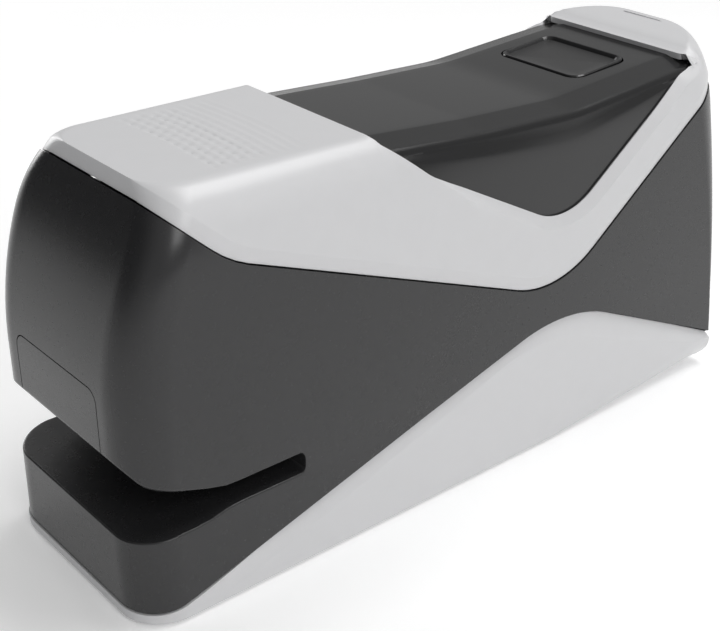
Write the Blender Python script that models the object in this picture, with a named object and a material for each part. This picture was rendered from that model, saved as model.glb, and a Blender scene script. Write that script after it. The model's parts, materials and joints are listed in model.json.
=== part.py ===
"""Battery-powered electric stapler, built as separate pieces on their joints.

Every size below is in millimetres. X is the width (0 on the middle plane), Y runs from the nose (0) to the
rear, Z is the height above the underside of the base tray. `point` turns such a place into metres in the part's
own frame, whose origin is under the middle of the stapler, on the surface that the rubber feet stand on.
"""

import math

import bpy
from mathutils import Vector

MM = 0.001
GAP = 0.3                      # clearance between pieces that touch

# Outer form
LENGTH = 153.3
FOOT_DROP = 0.6                # how far the rubber feet stand below the tray
TRAY_HALF_WIDTH = 24.55
BODY_HALF_WIDTH = 24.0
TOP_FRONT_HALF = 13.4          # flat part of the top, at the nose
TOP_REAR_HALF = 19.0           # and at the rear
TOP_Z = 77.4
SHOULDER_Z = 64.0              # the sides start to round over here
NOSE_Y = 0.3
NOSE_Z = 40.0                  # the nose is upright below this height
NOSE_RADIUS = 65.0
FRONT_CORNER = 8.6
CORNER_STEPS = 5               # facets round each upright corner
WALL = 2.0
TRAY_STATIONS = (60.0, 101.0, 118.0, 135.0)

# Paper slot
SLOT_FLOOR = 18.8
SLOT_ROOF = 23.1
SLOT_END = 35.5

# Top cover, and the panel that laps under it
COVER_WALL = 1.3
PANEL_INSET = COVER_WALL + GAP
PANEL_WALL = 1.8
PANEL_LAP = 2.0

# Staple drawer
DOOR_HALF_WIDTH = 13.6
DOOR_TOP = 43.8
DOOR_DEPTH = 26.0
CHANNEL_FLOOR = 25.5
CHANNEL_HALF_WIDTH = 6.3
CHANNEL_FRONT = 23.8
CHANNEL_REAR = 80.2

# Drive
MODULE = 0.8
PINION_TEETH = 10
WHEEL_TEETH = 30
CRANK_TEETH = 36
CRANK_AXIS = (44.0, 50.0)      # y, z
CRANK_THROW = 2.7
HAMMER_AXIS = (70.0, 44.0)
DRIVER_Y = 22.3
PLATE_INNER = 11.5             # steel frame's side plates
PLATE_OUTER = 12.7

# Batteries
CELL_RADIUS = 7.2
CELL_LENGTH = 49.5
CELL_FRONT = 97.2
CELL_X = 7.45
CELL_Z = (14.6, 29.4)

# Release button and lever
BUTTON_FRONT = 114.4
BUTTON_REAR = 130.1
BUTTON_MIDDLE = (BUTTON_FRONT + BUTTON_REAR) / 2
BUTTON_HALF_WIDTH = 11.2
BUTTON_TOP = (72.5, 73.7)      # height of its rim in front and behind
BUTTON_RIM = 1.4
BUTTON_DISH = 0.6
LEVER_AXIS = (97.0, 52.0)
LEVER_X = (-18.6, -16.6)

# Battery door
DOOR_LOW = 9.8
DOOR_HIGH = 40.8
DOOR_WIDTH = 32.0


# ---------------------------------------------------------------- helpers

def point(x, y, z):
    """A place given in millimetres, as metres in the part's frame."""
    return Vector((x, y - LENGTH / 2, z + FOOT_DROP)) * MM


def material(name, colour, roughness, metallic=0.0):
    surface = bpy.data.materials.new(name)
    surface.use_nodes = True
    shader = surface.node_tree.nodes["Principled BSDF"]
    shader.inputs["Base Color"].default_value = (*colour, 1.0)
    shader.inputs["Roughness"].default_value = roughness
    shader.inputs["Metallic"].default_value = metallic
    return surface


def make_materials():
    return {
        "dark": material("dark_plastic", (0.055, 0.055, 0.057), 0.38),
        "black": material("black_plastic", (0.03, 0.03, 0.032), 0.33),
        "white": material("white_plastic", (0.72, 0.72, 0.73), 0.4),
        "steel": material("plated_steel", (0.55, 0.55, 0.56), 0.35, 1.0),
        "staple": material("staple_wire", (0.7, 0.7, 0.71), 0.25, 1.0),
        "brass": material("brass", (0.72, 0.55, 0.25), 0.35, 1.0),
        "nylon": material("gear_nylon", (0.85, 0.84, 0.78), 0.5),
        "rubber": material("rubber", (0.03, 0.03, 0.03), 0.8),
        "board": material("circuit_board", (0.03, 0.2, 0.08), 0.5),
        "cell": material("cell_jacket", (0.1, 0.12, 0.3), 0.35),
        "red": material("red_lead", (0.5, 0.03, 0.03), 0.5),
        "grey": material("grey_plastic", (0.25, 0.25, 0.26), 0.5),
    }


def mesh_object(name, vertices, faces):
    mesh = bpy.data.meshes.new(name)
    mesh.from_pydata([tuple(point(*v)) for v in vertices], [], faces)
    mesh.validate()
    item = bpy.data.objects.new(name, mesh)
    bpy.context.scene.collection.objects.link(item)
    return item


def combine(item, tool, operation="DIFFERENCE"):
    """Cut, join or intersect one solid with another, and drop the tool."""
    modifier = item.modifiers.new(operation, "BOOLEAN")
    modifier.operation = operation
    modifier.solver = "EXACT"
    modifier.object = tool
    graph = bpy.context.evaluated_depsgraph_get()
    result = bpy.data.meshes.new_from_object(item.evaluated_get(graph))
    item.modifiers.clear()
    item.data = result
    bpy.data.objects.remove(tool)
    return item


def copy_of(item, name):
    twin = bpy.data.objects.new(name, item.data.copy())
    bpy.context.scene.collection.objects.link(twin)
    return twin


def finish(item, surface, angle=35.0):
    item.data.materials.clear()
    item.data.materials.append(surface)
    item.data.shade_smooth()
    item.data.set_sharp_from_angle(angle=math.radians(angle))
    return item


def loft(name, rings):
    """A closed solid through equal rings of points, lowest ring first, each counter-clockwise from above."""
    count = len(rings[0])
    vertices = [v for ring in rings for v in ring]
    faces = [list(range(count))[::-1]]
    for level in range(len(rings) - 1):
        low = level * count
        for i in range(count):
            j = (i + 1) % count
            faces.append([low + i, low + j, low + count + j, low + count + i])
    last = (len(rings) - 1) * count
    faces.append([last + i for i in range(count)])
    return mesh_object(name, vertices, faces)


# An outline's two coordinates and the distance along its axis, as (x, y, z)
PLACES = {
    "X": lambda a, b, t: (t, a, b),
    "Y": lambda a, b, t: (b, t, a),
    "Z": lambda a, b, t: (a, b, t),
}


def extrude(name, outline, axis, low, high):
    """A prism: the outline is in (y, z) for axis X, (z, x) for Y, and (x, y) for Z."""
    place = PLACES[axis]
    area = sum(a[0] * b[1] - b[0] * a[1] for a, b in zip(outline, outline[1:] + outline[:1]))
    if area < 0:
        outline = outline[::-1]
    return loft(name, [[place(a, b, low) for a, b in outline], [place(a, b, high) for a, b in outline]])


def box(name, x0, x1, y0, y1, z0, z1):
    return extrude(name, [(x0, y0), (x1, y0), (x1, y1), (x0, y1)], "Z", z0, z1)


def circle(centre, radius, count=24):
    a, b = centre
    turn = 2 * math.pi / count
    return [(a + radius * math.cos(i * turn), b + radius * math.sin(i * turn)) for i in range(count)]


def cylinder(name, axis, centre, radius, low, high, count=24):
    return extrude(name, circle(centre, radius, count), axis, low, high)


def turned(name, axis, centre, profile, count=24):
    """A solid of revolution along an axis: profile lists (position, radius), both ends flat."""
    place = PLACES[axis]
    rings = [[place(a, b, t) for a, b in circle(centre, radius, count)] for t, radius in profile]
    return loft(name, rings)


def rounded_path(corners, steps=6):
    """A path through (a, b, radius) corners, each corner with a radius replaced by an arc."""
    path = []
    for i, (a, b, radius) in enumerate(corners):
        if not radius or i in (0, len(corners) - 1):
            path.append((a, b))
            continue
        here = Vector((a, b))
        back = (Vector(corners[i - 1][:2]) - here).normalized()
        ahead = (Vector(corners[i + 1][:2]) - here).normalized()
        half = back.angle(ahead) / 2
        reach = radius / math.tan(half)
        centre = here + (back + ahead).normalized() * (radius / math.sin(half))
        start = here + back * reach - centre
        end = here + ahead * reach - centre
        sweep = start.angle_signed(end)
        for step in range(steps + 1):
            turn = -sweep * step / steps
            path.append((
                centre.x + start.x * math.cos(turn) - start.y * math.sin(turn),
                centre.y + start.x * math.sin(turn) + start.y * math.cos(turn),
            ))
    return path


def rounded_rectangle(a0, a1, b0, b1, radius, steps=4):
    """A closed outline with four equal round corners."""
    outline = []
    for a, b, start in ((a1, b1, 0), (a0, b1, 90), (a0, b0, 180), (a1, b0, 270)):
        ca = a - math.copysign(radius, a - (a0 + a1) / 2)
        cb = b - math.copysign(radius, b - (b0 + b1) / 2)
        for step in range(steps + 1):
            turn = math.radians(start + 90 * step / steps)
            outline.append((ca + radius * math.cos(turn), cb + radius * math.sin(turn)))
    return outline


def carry(pivot_name, pivot, *items):
    """Hang pieces on an empty that stands on their joint's axis."""
    empty = bpy.data.objects.new(pivot_name, None)
    bpy.context.scene.collection.objects.link(empty)
    empty.location = point(*pivot)
    bpy.context.view_layer.update()
    for item in items:
        item.parent = empty
        item.matrix_parent_inverse = empty.matrix_world.inverted()


# ---------------------------------------------------------------- outer form

def half_width(z, flat):
    """Half the width of the body at a height: upright sides, then an elliptic shoulder up to the flat top."""
    if z <= SLOT_FLOOR:
        return BODY_HALF_WIDTH + 0.5 * (1 - z / SLOT_FLOOR)
    if z <= SHOULDER_Z:
        return BODY_HALF_WIDTH
    rise = min(1.0, (z - SHOULDER_Z) / (TOP_Z - SHOULDER_Z))
    return flat + (BODY_HALF_WIDTH - flat) * math.sqrt(1 - rise * rise)


def nose(z):
    """Where the front of the body is at a height: upright, then an arc that leans back."""
    above = max(0.0, z - NOSE_Z)
    return NOSE_Y + NOSE_RADIUS - math.sqrt(NOSE_RADIUS ** 2 - above ** 2)


def rear(z):
    return LENGTH - 0.062 * z


def ring(z, inset, width=None, front=None):
    """The outline of the body at a height, shrunk by an inset: four round corners that vary with height."""
    front_half = (half_width(z, TOP_FRONT_HALF) if width is None else width) - inset
    rear_half = (half_width(z, TOP_REAR_HALF) if width is None else width) - inset
    above = max(0.0, z - NOSE_Z) / 35.0
    front_radius = max(1.0, FRONT_CORNER + 3.4 * above * above - inset)
    rear_radius = max(0.6, 0.8 + 9.5 * (z / 65.0) ** 2 - inset)
    front_y = (nose(z) if front is None else front) + inset + front_radius
    rear_y = rear(z) - inset - rear_radius
    points = []
    for side, half, y, radius, start in (
        (1, front_half, front_y, front_radius, -90),
        (1, rear_half, rear_y, rear_radius, 0),
        (-1, rear_half, rear_y, rear_radius, 90),
        (-1, front_half, front_y, front_radius, 180),
    ):
        for step in range(CORNER_STEPS + 1):
            turn = math.radians(start + 90 * step / CORNER_STEPS)
            points.append((side * (half - radius) + radius * math.cos(turn), y + radius * math.sin(turn)))
    return points


def with_stations(points):
    """A ring with more points along its two long sides, for a side whose section changes on the way."""
    corner = CORNER_STEPS + 1
    half = points[corner][0]
    right = [(half, y) for y in TRAY_STATIONS]
    left = [(-half, y) for y in reversed(TRAY_STATIONS)]
    return points[:corner] + right + points[corner:3 * corner] + left + points[3 * corner:]


def body_form(name, inset):
    """The whole outer form as one solid, shrunk by an inset."""
    levels = [-1, SLOT_FLOOR, NOSE_Z, 52, SHOULDER_Z, 68.5, 72, 74.6, 76.4, TOP_Z]
    rings = []
    for z in levels:
        rings.append([(x, y, z - (inset if z > SHOULDER_Z else 0)) for x, y in ring(z, inset)])
    return loft(name, rings)


def bottom_round(y):
    """Radius of the tray's lower edge: nearly sharp in front, soft towards the rear."""
    return 0.3 + 0.125 * max(0.0, y - 101.0)


def tray_form(name, inset, low, high):
    """The tray's outer form, its lower edges rounded more and more towards the rear."""
    levels = sorted({low, 0.8, 2.2, 4.4, 6.8, high})
    rings = []
    for z in [v for v in levels if low <= v <= high]:
        layer = []
        for x, y in with_stations(ring(z, inset, TRAY_HALF_WIDTH, 0.0)):
            radius = bottom_round(y)
            tuck = 0.0
            if z < radius:
                tuck = radius - math.sqrt(max(0.0, radius ** 2 - (radius - max(z, 0.0)) ** 2))
            layer.append((x - math.copysign(min(tuck, abs(x)), x), y, z))
        rings.append(layer)
    return loft(name, rings)


# ---------------------------------------------------------------- side-view outlines

def slot_outline(grow=0.0):
    """The paper slot and its wide mouth, seen from the side."""
    low = rounded_path([
        (-6, 16.2 - grow, 0), (9, 17.5 - grow, 6), (14, 17.5 - grow, 6), (19.5, SLOT_FLOOR - grow, 6),
        (SLOT_END - 2.15 + grow, SLOT_FLOOR - grow, 0),
    ])
    middle = ((SLOT_FLOOR + SLOT_ROOF) / 2, (SLOT_ROOF - SLOT_FLOOR) / 2 + grow)
    end = []
    for step in range(1, 8):
        turn = math.radians(-90 + 22.5 * step)
        end.append((SLOT_END - 2.15 + middle[1] * math.cos(turn), middle[0] + middle[1] * math.sin(turn)))
    high = rounded_path([(SLOT_END - 2.15, SLOT_ROOF + grow, 0), (18.5, SLOT_ROOF + grow, 12),
                         (3.4, 27.6 + grow, 4), (-1.5, 34 + grow, 0), (-6, 40, 0)])
    return low + end + high


def cheek_line(shift=0.0):
    """Upper edge of the white tray, from the nose to the rear."""
    return rounded_path([(-4, 1.9 + shift, 0), (6.3, 2.0 + shift, 30), (103.2, 29.9 + shift, 37),
                         (158, 4.7 + shift, 0)], 8)


def cover_line(shift=0.0):
    """Lower edge of the white top cover, from the nose to the rear."""
    return rounded_path([(-2, 88 + shift, 0), (8.5, 77.2 + shift, 0), (21.5, 64.9 + shift, 22),
                         (99.5, 33.9 + shift, 22), (143, 67.0 + shift, 6), (158, 70.5 + shift, 0)], 8)


def panel_line(shift=0.0):
    """The V-shaped edge between the top cover and the panel."""
    return rounded_path([(54.5 + shift, 90, 0), (56.5 + shift, 74.5, 6), (103.8, 47.4 + 1.2 * shift, 17),
                         (136 - shift, 73.0, 6), (137.5 - shift, 90, 0)], 8)


def panel_top(drop=0.0):
    """The saddle-shaped top of the panel, seen from the side."""
    corners = [(50, 75.2, 0), (80, 72.9, 60), (104, 71.4, 60), (128, 73.2, 60), (140, 73.8, 0)]
    return rounded_path([(y, z - drop, radius) for y, z, radius in corners], 3)


def door_outline(grow=0.0):
    """The staple drawer's door and sole, seen from the front, as (z, x)."""
    half = DOOR_HALF_WIDTH + grow
    return rounded_rectangle(SLOT_FLOOR + 1.2, DOOR_TOP + grow, -half, half, 2.4)


# ---------------------------------------------------------------- casing

def make_shell():
    """The dark casing before it is parted: walls of even thickness that also line the paper slot."""
    shell = body_form("shell", 0.0)
    combine(shell, extrude("slot", slot_outline(), "X", -40, 40))
    hollow = body_form("hollow", WALL)
    combine(hollow, extrude("lining", slot_outline(WALL), "X", -40, 40))
    return combine(shell, hollow)


def make_main_housing(shell, surfaces):
    housing = copy_of(shell, "main_housing")
    side = cheek_line(GAP) + cover_line(-GAP)[::-1]
    combine(housing, extrude("side", side, "X", -40, 40), "INTERSECT")
    combine(housing, extrude("door_way", door_outline(GAP), "Y", -10, DOOR_DEPTH + GAP))
    half = DOOR_WIDTH / 2 + GAP
    rear_way = rounded_rectangle(DOOR_LOW - GAP, DOOR_HIGH + GAP, -half, half, 2.0)
    combine(housing, extrude("rear_way", rear_way, "Y", 140, 165))
    combine(housing, box("anvil_seat", -7.3, 7.3, 20.3, 27.6, 17.5, 22))
    combine(housing, box("trigger_way", -2.2, 2.2, 33, 41, 19.3, 22.6))
    return finish(housing, surfaces["dark"])


def make_drawer_front(shell, surfaces):
    """The door in the nose with the sole under it: one moulding that closes the staple drawer."""
    door = copy_of(shell, "drawer_front")
    combine(door, extrude("door", door_outline(), "Y", -10, DOOR_DEPTH), "INTERSECT")
    combine(door, box("staple_exit", -5.2, 5.2, 21.4, 23.4, 20, 27))
    return finish(door, surfaces["dark"])


def make_battery_door(shell, surfaces):
    door = copy_of(shell, "battery_door")
    outline = rounded_rectangle(DOOR_LOW, DOOR_HIGH, -DOOR_WIDTH / 2, DOOR_WIDTH / 2, 1.8)
    combine(door, extrude("outline", outline, "Y", 140, 165), "INTERSECT")
    return finish(door, surfaces["dark"])


def make_top_cover(surfaces):
    """White band over the nose, down both sides to a low point and up round the rear."""
    cover = body_form("top_cover", 0.0)
    above = cover_line() + [(158, 95), (-2, 95)]
    combine(cover, body_form("inside", COVER_WALL))
    combine(cover, extrude("above", above, "X", -40, 40), "INTERSECT")
    combine(cover, extrude("window", panel_line(), "X", -40, 40))
    return finish(cover, surfaces["white"])


def make_top_panel(surfaces):
    panel = body_form("top_panel", PANEL_INSET)
    under = panel_top() + [(140, 30), (50, 30)]
    combine(panel, extrude("under", under, "X", -40, 40), "INTERSECT")
    inside = body_form("inside", PANEL_INSET + PANEL_WALL)
    under = panel_top(PANEL_WALL) + [(140, 20), (50, 20)]
    combine(inside, extrude("under_inside", under, "X", -40, 40), "INTERSECT")
    combine(panel, inside)
    combine(panel, extrude("bowl", panel_line(-PANEL_LAP), "X", -40, 40), "INTERSECT")
    hole = rounded_rectangle(-BUTTON_HALF_WIDTH - GAP, BUTTON_HALF_WIDTH + GAP,
                             BUTTON_FRONT - GAP, BUTTON_REAR + GAP, 3.2)
    combine(panel, extrude("button_way", hole, "Z", 60, 90))
    return finish(panel, surfaces["black"])


def screw_places():
    return [(x, y) for y in (47.0, 84.0) for x in (-8.0, 8.0)]


def foot_places():
    return [(x, y) for y, half in ((15.0, 16.5), (136.0, 15.0)) for x in (-half, half)]


def make_base_tray(surfaces):
    """White tray with raised cheeks, screw bosses and shallow seats for the feet."""
    tray = tray_form("base_tray", 0.0, 0.0, 30.0)
    hollow = tray_form("tray_hollow", WALL, WALL, 31.0)
    combine(tray, hollow)
    below = cheek_line() + [(158, -5), (-4, -5)]
    combine(tray, extrude("below", below, "X", -40, 40), "INTERSECT")
    for x, y in screw_places():
        combine(tray, cylinder("boss", "Z", (x, y), 4.3, 1.0, 9.2, 16), "UNION")
        combine(tray, turned("bore", "Z", (x, y), [(-1, 3.3), (3.4, 3.3), (3.4, 1.8), (12, 1.8)], 16))
    for x, y in foot_places():
        combine(tray, cylinder("seat", "Z", (x, y), 4.3, -1, 0.8, 20))
    return finish(tray, surfaces["white"])


def make_feet(surfaces):
    for number, (x, y) in enumerate(foot_places(), 1):
        profile = [(-FOOT_DROP, 3.6), (-0.2, 4.0), (0.5, 4.0)]
        foot = turned(f"rubber_foot_{number}", "Z", (x, y), profile, 20)
        finish(foot, surfaces["rubber"])


def make_screws(surfaces):
    for number, (x, y) in enumerate(screw_places(), 1):
        profile = [(1.2, 2.6), (1.6, 3.0), (3.1, 3.0), (3.1, 1.5), (12.4, 1.5)]
        screw = turned(f"case_screw_{number}", "Z", (x, y), profile, 12)
        for half_x, half_y in ((2.0, 0.45), (0.45, 2.0)):
            combine(screw, box("cross", x - half_x, x + half_x, y - half_y, y + half_y, 0, 2.3))
        finish(screw, surfaces["steel"])


# ---------------------------------------------------------------- steel frame and fixed inner pieces

def make_frame(surfaces):
    """Bent steel C frame: two side plates joined by a floor, the drive above the slot and the anvil below."""
    side = [(18, 9.5), (90, 9.5), (93, 12.5), (93, 41), (104, 41), (104, 66), (101, 69), (50, 69), (44, 66),
            (18, 60), (18, 33.6), (42, 33.6), (42, 15.4), (18, 15.4)]
    frame = extrude("steel_frame", side, "X", -PLATE_OUTER, PLATE_OUTER)
    combine(frame, box("between", -PLATE_INNER, PLATE_INNER, 0, 120, 10.7, 90))
    combine(frame, box("motor_room", -20, 0, 74, 120, 12, 90))
    combine(frame, cylinder("crank_hole", "X", CRANK_AXIS, 3.3, 5, 20))
    combine(frame, cylinder("motor_hole", "X", gear_places()["motor"], 3.4, 5, 20))
    combine(frame, cylinder("hammer_holes", "X", HAMMER_AXIS, 2.0 + GAP, -20, 20))
    for name in ("second", "first"):
        combine(frame, cylinder("axle_hole", "X", gear_places()[name], 1.2 + GAP, 5, 20, 16))
    for x, y in screw_places():
        combine(frame, cylinder("screw_hole", "Z", (x, y), 1.8, 5, 13, 16))
    return finish(frame, surfaces["steel"])


def make_driver_guide(surfaces):
    """Plate behind the driver blade, with a window that the hammer lever reaches through."""
    guide = box("driver_guide", -11.1, 11.1, 23.3, 24.5, 33.4, 58)
    combine(guide, box("window", -2.6, 2.6, 20, 30, 34.6, 52))
    for x in (-6.5, 5.5):
        combine(guide, box("rib", x, x + 1.0, 21.6, 24.0, 34, 57.4), "UNION")
    return finish(guide, surfaces["steel"])


def gear_places():
    """Axes of the gear train (y, z): each gear's pitch circle touches the next one's."""
    def beyond(start, teeth, degrees):
        reach = MODULE * teeth / 2
        turn = math.radians(degrees)
        return (start[0] + reach * math.cos(turn), start[1] + reach * math.sin(turn))

    second = beyond(CRANK_AXIS, CRANK_TEETH + PINION_TEETH, -20)
    first = beyond(second, WHEEL_TEETH + PINION_TEETH, 25)
    motor = beyond(first, WHEEL_TEETH + PINION_TEETH, 20)
    return {"crank": CRANK_AXIS, "second": second, "first": first, "motor": motor}


def make_motor(surfaces):
    """Brushed DC motor: flat-sided can, front boss and plastic end cap with two tags."""
    y, z = gear_places()["motor"]
    profile = [(-15.8, 3.6), (-14.6, 3.6), (-14.6, 10.6), (-13.4, 11.8), (10.4, 11.8), (11.2, 11.0), (11.2, 3.0),
               (13.2, 3.0)]
    can = turned("motor", "X", (y, z), profile, 32)
    combine(can, box("flat_low", -20, 20, y - 20, y + 20, z - 20, z - 9.9))
    combine(can, box("flat_high", -20, 20, y - 20, y + 20, z + 9.9, z + 20))
    for height in (z - 3.0, z + 3.0):
        combine(can, box("tag", -13.8, -11.8, y + 9.0, y + 13.4, height - 0.3, height + 0.3), "UNION")
    combine(can, cylinder("shaft_hole", "X", (y, z), 1.15, -2, 20, 16))
    return finish(can, surfaces["steel"])


def make_pins(surfaces):
    for name, key in (("second_gear_axle", "second"), ("first_gear_axle", "first")):
        pin = turned(name, "X", gear_places()[key], [(10.2, 2.2), (11.2, 2.2), (11.2, 1.2), (21.0, 1.2)], 16)
        finish(pin, surfaces["steel"])
    pin = turned("hammer_pin", "X", HAMMER_AXIS,
                 [(-14.0, 3.0), (-13.0, 3.0), (-13.0, 2.0), (13.0, 2.0), (13.3, 1.7)], 20)
    finish(pin, surfaces["steel"])
    pin = cylinder("release_lever_pin", "X", LEVER_AXIS, 1.5, -20.2, -16.0, 16)
    finish(pin, surfaces["steel"])
    bush = turned("crank_bush", "X", CRANK_AXIS, [(10.4, 4.4), (11.2, 4.4), (11.2, 3.0), (13.1, 3.0)], 20)
    combine(bush, cylinder("bore", "X", CRANK_AXIS, 2.08, 5, 20, 20))
    finish(bush, surfaces["brass"])


def make_anvil(surfaces):
    """Clinching plate let into the jaw, with two curved grooves that fold the staple's legs."""
    plate = box("anvil_plate", -7, 7, 20.6, 27.3, 17.8, SLOT_FLOOR)
    for side in (-1, 1):
        groove = cylinder("groove", "Y", (SLOT_FLOOR + 1.0, side * 2.5), 1.55, 21.6, 23.4, 16)
        combine(plate, groove)
    return finish(plate, surfaces["steel"])


def make_battery_holder(surfaces):
    """Open-ended box for a two by two stack of cells, with a post for the button's spring."""
    holder = box("battery_holder", -16.2, 16.2, 94.4, 147.9, 6.0, 38.2)
    combine(holder, box("room", -15.0, 15.0, 96.0, 160, 7.2, 37.0))
    for y in (107, 121, 135):
        combine(holder, box("side_window", -20, 20, y - 4, y + 4, 11, 33))
    post = [(38.0, 4.6), (58.4, 3.4), (58.4, 1.6), (61.0, 1.6)]
    combine(holder, turned("post", "Z", (0, BUTTON_MIDDLE), post, 20), "UNION")
    return finish(holder, surfaces["grey"])


def make_cells(surfaces):
    number = 0
    for z in CELL_Z:
        for x in (-CELL_X, CELL_X):
            number += 1
            end = CELL_FRONT + CELL_LENGTH
            radius = CELL_RADIUS - 0.1
            profile = [(CELL_FRONT, 6.0), (CELL_FRONT + 0.4, radius), (end - 0.8, radius), (end, 6.4), (end, 2.7),
                       (end + 1.0, 2.6)]
            cell = turned(f"aa_cell_{number}", "Y", (z, x), profile, 20)
            finish(cell, surfaces["cell"])


def make_contacts(surfaces):
    front = box("front_contacts", -14.2, 14.2, 96.3, 96.7, 8, 36.2)
    combine(front, box("split", -0.6, 0.6, 90, 100, 7, 30))
    finish(front, surfaces["steel"])
    back = box("rear_contact", -14.2, 14.2, 148.2, 148.6, 11.5, 36.2)
    combine(back, box("split", -0.6, 0.6, 140, 150, 18, 40))
    return finish(back, surfaces["steel"])


def make_circuit_board(surfaces):
    """Control board with its relay, capacitor and chip joined to it."""
    board = box("circuit_board", -15, 15, 128, 146, 42, 43.4)
    for x0, x1, y0, y1, top in ((-8, 2, 132, 144, 52), (5, 11, 130, 136, 47), (4, 13, 138, 143, 45)):
        combine(board, box("component", x0, x1, y0, y1, 43, top), "UNION")
    return finish(board, surfaces["board"])


def make_micro_switch(surfaces):
    switch = box("micro_switch", -4, 4, 43.2, 49, 17.2, 24.2)
    combine(switch, box("terminals", -3, 3, 48, 52, 19.5, 20.1), "UNION")
    return finish(switch, surfaces["black"])


def lead(name, route, surface):
    """An insulated lead along a smooth route between two fixed ends."""
    curve = bpy.data.curves.new(name, "CURVE")
    curve.dimensions = "3D"
    curve.bevel_depth = 0.6 * MM
    curve.bevel_resolution = 1
    curve.use_fill_caps = True
    spline = curve.splines.new("POLY")
    steps = 14
    spline.points.add(steps)
    a, b, c, d = [point(*p) for p in route]
    for i in range(steps + 1):
        t = i / steps
        place = a * (1 - t) ** 3 + b * 3 * t * (1 - t) ** 2 + c * 3 * t * t * (1 - t) + d * t ** 3
        spline.points[i].co = (*place, 1.0)
    item = bpy.data.objects.new(name, curve)
    bpy.context.scene.collection.objects.link(item)
    item.data.materials.append(surface)


def make_leads(surfaces):
    """Leads from the motor's two tags, which stand 3 mm either side of its axis, down to the circuit board."""
    y, z = gear_places()["motor"]
    tag_y = y + 14.4
    end_y = 129.8
    red = [(-12.8, tag_y, z + 3), (-12.8, tag_y + 10, z + 5), (-12.8, end_y, 58), (-12.8, end_y, 44.4)]
    black = [(-12.8, tag_y, z - 3), (-12.0, tag_y + 6, z - 4), (-10.0, end_y, 52), (-10.0, end_y, 44.4)]
    lead("motor_lead_red", red, surfaces["red"])
    lead("motor_lead_black", black, surfaces["black"])


# ---------------------------------------------------------------- moving pieces

def gear_outline(centre, teeth, tooth_at):
    """Straight-flanked teeth with backlash; tooth_at is the direction, in degrees, of one tooth's middle."""
    pitch = MODULE * teeth / 2
    tip = pitch + 0.72 * MODULE
    root = pitch - 1.1 * MODULE
    step = 2 * math.pi / teeth
    outline = []
    for i in range(teeth):
        middle = math.radians(tooth_at) + i * step
        for radius, offset in ((root, -0.3), (tip, -0.1), (tip, 0.1), (root, 0.3)):
            turn = middle + offset * step
            outline.append((centre[0] + radius * math.cos(turn), centre[1] + radius * math.sin(turn)))
    return outline


def compound_gear(name, centre, wheel_x, pinion_x, wheel_at, pinion_at, surface):
    """A wheel and a smaller pinion moulded in one, with a running bore."""
    gear = extrude(name, gear_outline(centre, WHEEL_TEETH, wheel_at), "X", *wheel_x)
    combine(gear, extrude("pinion", gear_outline(centre, PINION_TEETH, pinion_at), "X", *pinion_x), "UNION")
    low = min(wheel_x[0], pinion_x[0])
    high = max(wheel_x[1], pinion_x[1])
    combine(gear, cylinder("hub", "X", centre, 2.5, low, high, 20), "UNION")
    combine(gear, cylinder("bore", "X", centre, 1.28, 5, 25, 16))
    return finish(gear, surface)


def facing(start, target):
    """Direction in degrees from one axis to another."""
    return math.degrees(math.atan2(target[1] - start[1], target[0] - start[0]))


def make_gear_train(surfaces):
    places = gear_places()
    crank, second, first, motor = (places[k] for k in ("crank", "second", "first", "motor"))
    half_tooth = 180.0 / PINION_TEETH
    half_wheel = 180.0 / WHEEL_TEETH

    wheel = extrude("crank_gear", gear_outline(crank, CRANK_TEETH, facing(crank, second)), "X", 13.6, 15.4)
    combine(wheel, cylinder("hub", "X", crank, 4.2, 13.6, 17.2, 24), "UNION")
    combine(wheel, cylinder("bore", "X", crank, 2.0 + GAP, 5, 25, 20))
    for i in range(5):
        turn = math.radians(36 + 72 * i)
        hole = (crank[0] + 8.6 * math.cos(turn), crank[1] + 8.6 * math.sin(turn))
        combine(wheel, cylinder("lightening", "X", hole, 2.6, 5, 25, 12))
    finish(wheel, surfaces["nylon"])

    shaft = cylinder("crank_shaft", "X", crank, 2.0, 6.0, 18.2, 20)
    combine(shaft, cylinder("disc", "X", crank, 5.4, 5.4, 8.4, 24), "UNION")
    combine(shaft, cylinder("pin", "X", (crank[0], crank[1] + CRANK_THROW), 1.4, 2.4, 6.0, 16), "UNION")
    finish(shaft, surfaces["steel"])
    carry("crank_axis", (0, *crank), wheel, shaft)

    # a pinion shows a gap to the wheel that it drives, half a tooth off the wheel's tooth
    gear_two = compound_gear("second_gear", second, (18.4, 20.2), (13.4, 15.7), facing(second, first),
                             facing(second, crank) + half_tooth, surfaces["nylon"])
    carry("second_gear_axis", (0, *second), gear_two)
    gear_one = compound_gear("first_gear", first, (16.1, 17.7), (18.2, 20.4), facing(first, motor) + half_wheel,
                             facing(first, second) + half_tooth, surfaces["nylon"])
    carry("first_gear_axis", (0, *first), gear_one)

    pinion = extrude("motor_pinion", gear_outline(motor, PINION_TEETH, facing(motor, first)), "X", 15.6, 18.2)
    combine(pinion, cylinder("shaft", "X", motor, 1.0, 0, 18.8, 16), "UNION")
    finish(pinion, surfaces["brass"])
    carry("motor_axis", (0, *motor), pinion)


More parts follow.
